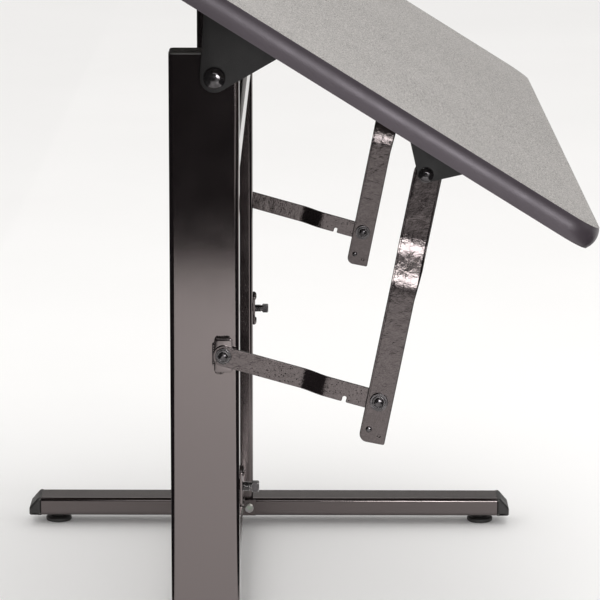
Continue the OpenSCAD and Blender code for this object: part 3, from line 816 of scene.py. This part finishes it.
# Beads where the cross beam meets the posts, above, below and at its back
BEAM_BEAD = 0.0030
mesh = bmesh.new()
beam_lo, beam_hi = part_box("cross_beam")
for y, inward in ((beam_lo.y, 1), (beam_hi.y, -1)):
    for z, up in ((beam_lo.z, -1), (beam_hi.z, 1)):
        ends = (beam_lo.x + 0.003, y, z), (beam_hi.x - 0.004, y, z)
        bead(mesh, *ends, BEAM_BEAD, (0, inward, up), seed=z * 9)
    ends = (beam_lo.x, y, beam_lo.z + 0.003), (beam_lo.x, y, beam_hi.z - 0.003)
    bead(mesh, *ends, BEAM_BEAD, (-1, inward, 0), seed=3.3)
piece("beam_welds", mesh, "frame", "black_enamel", weighted=False)


# ---- brackets under the top ----

def folded(mesh, start, radius, angle):
    """Folds a sheet drawn in XY up towards +Z from a line across X."""
    middle = radius + BAR_T / 2
    cut_along(mesh, start, start + middle * angle, 10)
    for v in mesh.verts:
        if v.co.x <= start:
            continue
        run = v.co.x - start
        turn = min(run / middle, angle)
        rest = run - middle * turn
        height = v.co.z - BAR_T / 2
        v.co.x = start + (middle - height) * math.sin(turn) + rest * math.cos(turn)
        v.co.z = BAR_T / 2 + middle - (middle - height) * math.cos(turn) + rest * math.sin(turn)


def brace_bracket(side):
    tip_r, half, flange = 0.0088, 0.043, 0.037
    radius = 0.0025
    middle = radius + BAR_T / 2
    fold = ARM_DROP - BAR_T / 2 - middle
    bend = middle * math.pi / 2
    end = fold + bend + flange - BAR_T / 2 - middle
    screw = end - BRACE_SCREW_IN
    slope = tip_r * math.sqrt(2)
    corners = [
        (-slope, 0, tip_r), (fold - 0.001, -(fold - 0.001 + slope), 0.004), (fold + bend, -half, 0.004),
        (end, -half, 0.006), (end, half, 0.006), (fold + bend, half, 0.004),
        (fold - 0.001, fold - 0.001 + slope, 0.004),
    ]
    mesh = bmesh.new()
    holes = [ring(screw, y, SCREW_HOLE, 20) for y in (-BRACE_SCREW_OUT, BRACE_SCREW_OUT)]
    slab(mesh, fillet(corners, 10), rounded_edge(0, BAR_T, 0.0005), holes)
    folded(mesh, fold, radius, math.pi / 2)
    across = Matrix(((0, -1, 0, 0), (0, 0, -1, 0), (1, 0, 0, 0), (0, 0, 0, 1)))
    place = Matrix.Translation((ARM_ALONG, BRACE_Y[side] - GUSSET, UNDER - ARM_DROP))
    mesh.transform(ON_TOP @ place @ across)
    return piece(f"brace_bracket_{side}_pressing", mesh, "top", "bracket_black", [f"brace_bracket_{side}"])


EAR_R = 0.016
EAR_ANGLE = math.radians(62)
EAR_GAP = 0.001


def hinge_bracket(side):
    post_half = (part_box("post_left")[1].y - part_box("post_left")[0].y) / 2
    place = ON_TOP @ Matrix.Translation((0, POST_Y[side], 0))
    mesh = bmesh.new()
    holes = [
        ring(sx * HINGE_SCREW[0], sy * HINGE_SCREW[1], SCREW_HOLE, 20) for sx in (-1, 1) for sy in (-1, 1)
    ]
    slab(mesh, oblong(0.130, 0.084, 0.007), rounded_edge(UNDER - BAR_T, UNDER, 0.0005), holes, at=place)
    top = UNDER - 0.0015
    base = (EAR_R + top * math.cos(EAR_ANGLE)) / math.sin(EAR_ANGLE)
    outline = fillet([(-base, top, 0.001), (0, -EAR_R / math.cos(EAR_ANGLE), EAR_R), (base, top, 0.001)], 14)
    ear_in = post_half + EAR_GAP
    for w in (ear_in, -ear_in - BAR_T):
        slab(mesh, outline, rounded_edge(w, w + BAR_T, 0.0005), at=place @ FACE_OUT)
        outer = w + BAR_T if w > 0 else w
        ends = [place @ Vector((x, -outer, UNDER - BAR_T)) for x in (-0.036, 0.036)]
        out = place.to_3x3() @ Vector((0, -1 if w > 0 else 1, -1))
        bead(mesh, *ends, 0.0026, out, seed=w * 50)
    return welded(f"hinge_bracket_{side}", mesh, "top", "bracket_black")


for side in SIDES:
    brace_bracket(side)
    hinge_bracket(side)


# ---- screws, bolts and nuts ----

def cross_screw():
    """Pan head with a cross recess, head up, its underside at Z = 0."""
    made = []
    for shape in ("head", "slots"):
        mesh = bmesh.new()
        if shape == "head":
            profile = [
                (0, -0.016, 0), (0.0022, -0.012, 0.0004), (0.0022, 0, 0), (0.0046, 0, 0.0002),
                (0.0046, 0.0010, 0.0006), (0.0038, 0.0022, 0.0012), (0.0016, 0.0026, 0.001),
                (0, 0.0026, 0),
            ]
            lathe(mesh, turned_profile(profile), segments=40)
        else:
            for turn in (0, math.pi / 2):
                spin = Matrix.Rotation(turn, 4, "Z")
                verts = [
                    mesh.verts.new(spin @ Vector((sx * x, sy * 0.00045, z)))
                    for z, x in ((0.0006, 0.0009), (0.0030, 0.0026))
                    for sx, sy in ((-1, -1), (1, -1), (1, 1), (-1, 1))
                ]
                low, high = verts[:4], verts[4:]
                mesh.faces.new(low[::-1])
                mesh.faces.new(high)
                for i in range(4):
                    mesh.faces.new((low[i], low[(i + 1) % 4], high[(i + 1) % 4], high[i]))
        bmesh.ops.recalc_face_normals(mesh, faces=mesh.faces[:])
        data = bpy.data.meshes.new("screw_" + shape)
        mesh.to_mesh(data)
        mesh.free()
        made.append(bpy.data.objects.new("screw_" + shape, data))
        bpy.context.scene.collection.objects.link(made[-1])
    head, slots = made
    cut = head.modifiers.new("recess", "BOOLEAN")
    cut.operation, cut.object, cut.solver, cut.use_self = "DIFFERENCE", slots, "EXACT", True
    bpy.context.view_layer.update()
    data = bpy.data.meshes.new_from_object(head.evaluated_get(bpy.context.evaluated_depsgraph_get()))
    for o in made:
        bpy.data.objects.remove(o)
    return data


SCREW = cross_screw()
brace_screw_w = GUSSET + BAR_T + BRACE_SCREW_IN
screw_places = [
    (sx * HINGE_SCREW[0], POST_Y[side] + sy * HINGE_SCREW[1])
    for side in SIDES for sx in (-1, 1) for sy in (-1, 1)
]
screw_places += [
    (ARM_ALONG + x, BRACE_Y[side] - brace_screw_w)
    for side in SIDES for x in (-BRACE_SCREW_OUT, BRACE_SCREW_OUT)
]
mesh = bmesh.new()
for k, (x, y) in enumerate(screw_places):
    one = SCREW.copy()
    spin = Matrix.Rotation(0.7 * k, 4, "Z")
    there = ON_TOP @ Matrix.Translation((x, y, UNDER - BAR_T))
    one.transform(there @ Matrix.Rotation(math.pi, 4, "X") @ spin)
    mesh.from_mesh(one)
    bpy.data.meshes.remove(one)
piece("bracket_screws_cross", mesh, "top", "zinc_steel", ["bracket_screws"], sharp=40, weighted=False)

dome = 0.0231 + 0.0003     # outer face of the ears, and a little clearance
bolts, nuts = bmesh.new(), bmesh.new()
for side in SIDES:
    out = facing(HINGE.x, POST_Y[side], HINGE.z, SIGN[side])
    inward = facing(HINGE.x, POST_Y[side], HINGE.z, -SIGN[side])
    profile = [
        (0, -0.030, 0), (0.006, -0.030, 0), (0.006, dome, 0), (0.012, dome, 0.0003),
        (0.012, dome + 0.0011, 0.0005), (0.0105, dome + 0.0030, 0.004),
        (0.0062, dome + 0.0053, 0.005), (0, dome + 0.0060, 0),
    ]
    lathe(bolts, turned_profile(profile), out)
    thread(bolts, 0.006, 0.029, 0.034, 0.00175, inward)
    prism(nuts, 6, 0.00935, dome, dome + 0.009, inward, chamfer_low=True)
piece("hinge_bolts_domed", bolts, "top", "rivet_black", ["hinge_bolts"], sharp=50)
piece("hinge_nuts_hex", nuts, "top", "zinc_steel", ["hinge_nuts"])

mesh = bmesh.new()
screws_lo, screws_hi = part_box("stretcher_screws")
stretcher_lo, stretcher_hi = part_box("floor_stretcher")
bolt_x = (screws_hi.x - screws_lo.x) / 2 - 0.0065
shank = turned_profile([
    (0, -0.012, 0), (0.004, -0.012, 0), (0.004, 0, 0), (0.0064, 0, 0.0002), (0.0064, 0.0008, 0.0003),
    (0, 0.0008, 0),
])
for side in SIDES:
    face = (stretcher_hi.y if side == "right" else -stretcher_lo.y) - 0.004
    for x in (-bolt_x, bolt_x):
        place = facing(POST_X + x, SIGN[side] * face, (screws_lo.z + screws_hi.z) / 2, -SIGN[side])
        prism(mesh, 6, 0.0055, 0.0006, 0.0050, place)
        lathe(mesh, shank, place)
piece("stretcher_screws_hex", mesh, "base", "zinc_steel", ["stretcher_screws"])


# ---- edge band ----

def edge_band():
    """T-moulding swept round the panel: bulged face, two soft lips, a tang in the panel's groove."""
    length, width, corner = 0.906, 1.211, 0.034
    bulge, half, tang, depth = 0.004, TOP_T / 2, 0.0009, 0.008
    arc = (bulge ** 2 + half ** 2) / (2 * bulge)
    swing = math.asin(half / arc)
    turns = [swing * (1 - 2 * k / 24) for k in range(25)]
    face = [(bulge - arc + arc * math.cos(a), arc * math.sin(a)) for a in turns]
    profile = [(-depth, tang), (0, tang), (0, half - 0.0009), (0.00005, half - 0.0003), (0.00035, half)]
    profile += [p for p in face if abs(p[1]) < half - 0.0004]
    profile += [(0.00035, -half), (0.00005, -half + 0.0003), (0, -half + 0.0009)]
    profile += [(0, -tang), (-depth, -tang)]
    lo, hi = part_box("top_core")
    middle = ON_TOP.inverted() @ Vector(((lo.x + hi.x) / 2, 0, (lo.z + hi.z) / 2))
    mesh = bmesh.new()
    rows = []
    for q in range(4):
        sx, sy = (1, 1, -1, -1)[q], (-1, 1, 1, -1)[q]
        cx, cy = sx * (length / 2 - corner), sy * (width / 2 - corner)
        for k in range(17):
            a = math.radians(90 * (q - 1) + 90 * k / 16)
            rows.append([
                mesh.verts.new((
                    middle.x + cx + (corner + o) * math.cos(a), cy + (corner + o) * math.sin(a), middle.z + z
                )) for o, z in profile
            ])
    for low, high in zip(rows, rows[1:] + rows[:1]):
        for i in range(len(profile)):
            j = (i + 1) % len(profile)
            mesh.faces.new((low[i], high[i], high[j], low[j]))
    mesh.transform(ON_TOP)
    return piece("edge_band_moulding", mesh, "top", "edge_vinyl", ["edge_band"], sharp=60)


edge_band()


# ---- feet, glides and caps ----

def foot_caps():
    lo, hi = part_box("foot_left")
    width, length, height = hi.y - lo.y, 0.017, hi.z - lo.z
    outline = fillet([
        (0, 0, 0.0004), (length, 0, 0.0030), (length, height - 0.0145, 0.006), (0.0045, height, 0.005),
        (0, height, 0.0004),
    ], 8)
    plug = fillet([
        (-0.013, 0.0022, 0.001), (0.001, 0.0022, 0), (0.001, height - 0.0022, 0),
        (-0.013, height - 0.0022, 0.001),
    ], 3)
    mesh = bmesh.new()
    for side in SIDES:
        lo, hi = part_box("foot_" + side)
        for x, turn in ((hi.x, 0), (lo.x, math.pi)):
            there = Matrix.Translation((x, (lo.y + hi.y) / 2, lo.z))
            place = there @ Matrix.Rotation(turn, 4, "Z") @ FACE_OUT
            slab(mesh, outline, rounded_edge(-width / 2, width / 2, 0.0035, 6), at=place)
            slab(mesh, plug, rounded_edge(-0.0194, 0.0194, 0.0005), at=place)
    return piece("foot_caps_moulded", mesh, "base", "black_plastic", ["foot_caps"])


def glides():
    foot_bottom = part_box("foot_left")[0].z
    lo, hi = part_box("levelling_glides")
    radius = 0.018
    profile = [
        (0, 0, 0), (0.0165, 0, 0.0006), (radius, 0.0016, 0.0008), (radius, 0.0050, 0.001),
        (0.0150, 0.0066, 0.002), (0.0105, 0.0076, 0.001), (0.0098, 0.0086, 0.0004),
        (0.0098, 0.0110, 0.0006), (0.0060, foot_bottom, 0.0004), (0.004, foot_bottom, 0),
        (0.004, foot_bottom + 0.010, 0), (0, foot_bottom + 0.010, 0),
    ]
    places = [
        Matrix.Translation((x, POST_Y[side], 0)) for x in (lo.x + radius, hi.x - radius) for side in SIDES
    ]
    return turned_piece(
        "levelling_glides_moulded", places, profile, "base", "black_plastic", ["levelling_glides"]
    )


def post_caps():
    lo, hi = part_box("post_caps")
    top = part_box("post_left")[1].z
    mesh = bmesh.new()
    for side in SIDES:
        place = Matrix.Translation((POST_X, POST_Y[side], 0))
        slab(mesh, oblong(POST_WIDE, POST_THICK, 0.005), [
            (0.0002, top), (0, top + 0.0003), (0, top + 0.0012), (0.0002, top + 0.0018),
            (0.0007, top + 0.0024), (0.0015, top + 0.0028), (0.0026, hi.z),
        ], at=place)
        inner = [(0.001, lo.z), (0, lo.z + 0.001), (0, top + 0.0005)]
        slab(mesh, oblong(0.0719, 0.0338, 0.003), inner, at=place)
    return piece("post_caps_moulded", mesh, "frame", "black_plastic", ["post_caps"])


foot_caps()
glides()
post_caps()

# ---- camera, floor and light ----

CAMERA_PLACE = (POST_X + 0.1074, POST_FACE["left"] - 3.543, 1.2613)
CAMERA_DOWN, CAMERA_YAW, CAMERA_ROLL = (math.radians(d) for d in (11.781, 0.044, 0.105))
LENS, SENSOR = 198.3, 36
camera_data = bpy.data.cameras.new("camera")
camera_data.lens = LENS
camera_data.sensor_width = SENSOR
camera = bpy.data.objects.new("camera", camera_data)
camera.location = CAMERA_PLACE
camera.rotation_euler = (
    Matrix.Rotation(CAMERA_YAW, 3, "Z") @ Matrix.Rotation(math.pi / 2 - CAMERA_DOWN, 3, "X")
    @ Matrix.Rotation(CAMERA_ROLL, 3, "Z")
).to_euler()
bpy.context.scene.collection.objects.link(camera)
bpy.context.scene.camera = camera


def stage_plane(name, corners, material, reflected_only=False):
    data = bpy.data.meshes.new(name)
    data.from_pydata(corners, [], [(0, 1, 2, 3)])
    data.materials.append(material)
    made = bpy.data.objects.new(name, data)
    bpy.context.scene.collection.objects.link(made)
    if reflected_only:
        for ray in ("camera", "diffuse", "shadow", "transmission", "volume_scatter"):
            setattr(made, "visible_" + ray, False)
    return made


def level(x0, x1, y0, y1, z):
    return [(x0, y0, z), (x1, y0, z), (x1, y1, z), (x0, y1, z)]


def floor_paint():
    t = Tree("floor_paint")
    colour = t.mix(t.noise(1.5, 3), (0.86, 0.855, 0.85), (0.90, 0.895, 0.89))
    return t.finish(Base_Color=colour, Roughness=0.7, Specular_IOR_Level=0.2)


# Near-black material of the reflection-only sheets: painted shade for the unlit studio around the lit paper
def shade_sheet_paint():
    t = Tree("shade_sheet_paint")
    colour = t.mix(t.noise(3, 2), (0.006, 0.006, 0.007), (0.010, 0.010, 0.011))
    return t.finish(Base_Color=colour, Roughness=1.0, Specular_IOR_Level=0.0)


def back_card_paper():
    t = Tree("back_card_paper")
    height = t.add("ShaderNodeSeparateXYZ")
    t.link(t.place, height.inputs[0])
    colour = t.mix(t.noise(0.8, 2), (0.26, 0.255, 0.25), (0.32, 0.315, 0.31))
    colour = t.mix(t.range(height.outputs["Z"], 1.9, 2.3, 0.0, 1.0), colour, (0.88, 0.87, 0.86))
    return t.finish(Base_Color=colour, Roughness=0.9, Specular_IOR_Level=0.1)


REACH = 40.0
FLAG_LIFT = 0.0006
stage_plane("floor", level(-REACH, REACH, -REACH, REACH, 0.0), floor_paint())

# Near-black sheets that only reflections see, painted shade standing in for the unlit studio beyond the lit
# paper, in front and at both sides
LIT_FRONT = POST_FACE["left"] - 2.85
LIT_FRONT_RIGHT = LIT_FRONT - 0.6
LIT_LEFT, LIT_TURN, LIT_RIGHT = POST_X - 0.5, POST_X + 0.16, POST_X + 0.62
shade_material = shade_sheet_paint()
for name, flat in {
    "flag_front": (-REACH, LIT_TURN, -REACH, LIT_FRONT),
    "shade_sheet_front_right": (LIT_TURN, REACH, LIT_FRONT_RIGHT, LIT_FRONT),
    "shade_sheet_far_right": (LIT_TURN, REACH, -REACH, LIT_FRONT_RIGHT - 1.0),
    "shade_sheet_left": (-REACH, LIT_LEFT, LIT_FRONT, REACH),
    "shade_sheet_right": (LIT_RIGHT, REACH, LIT_FRONT_RIGHT, POST_FACE["left"] + 0.8),
}.items():
    stage_plane(name, level(*flat, FLAG_LIFT), shade_material, reflected_only=True)
BACK = 6.0
stage_plane(
    "back_card", [(-BACK, BACK, 0.001), (BACK, BACK, 0.001), (BACK, BACK, BACK), (-BACK, BACK, BACK)],
    back_card_paper(), reflected_only=True,
)

world = bpy.data.worlds.new("studio")
bpy.context.scene.world = world
world.use_nodes = True
nodes, links = world.node_tree.nodes, world.node_tree.links
nodes.clear()
pale, dark = nodes.new("ShaderNodeBackground"), nodes.new("ShaderNodeBackground")
pale.inputs[0].default_value, pale.inputs[1].default_value = (1.0, 0.992, 0.982, 1), 1.05
dark.inputs[0].default_value, dark.inputs[1].default_value = (1.0, 0.98, 0.96, 1), 0.012
chosen, seen = nodes.new("ShaderNodeMixShader"), nodes.new("ShaderNodeLightPath")
links.new(seen.outputs["Is Glossy Ray"], chosen.inputs[0])
links.new(pale.outputs[0], chosen.inputs[1])
links.new(dark.outputs[0], chosen.inputs[2])
links.new(chosen.outputs[0], nodes.new("ShaderNodeOutputWorld").inputs[0])


def softbox(name, place, target, width, height, power):
    data = bpy.data.lights.new(name, "AREA")
    data.shape = "RECTANGLE"
    data.size, data.size_y = width, height
    data.energy = power
    made = bpy.data.objects.new(name, data)
    made.location = place
    made.rotation_euler = (Vector(target) - Vector(place)).to_track_quat("-Z", "Y").to_euler()
    made.visible_camera = False
    bpy.context.scene.collection.objects.link(made)
    return made


softbox("key", (0.35, -3.3, 0.80), (0.21, -0.5, 0.60), 0.28, 0.32, 7)
softbox("edge_front", (0.90, -3.3, 0.74), (0.28, -0.6, 0.62), 1.0, 0.6, 20)
softbox("high_front", (0.30, -3.3, 1.85), (0.15, -0.5, 0.55), 1.5, 1.0, 10)
softbox("overhead", (0.2, -0.2, 3.2), (0, 0, 0.6), 2.4, 2.4, 26)
softbox("right_strip", (3.0, -1.0, 1.5), (0, -0.4, 0.6), 0.5, 1.6, 6)
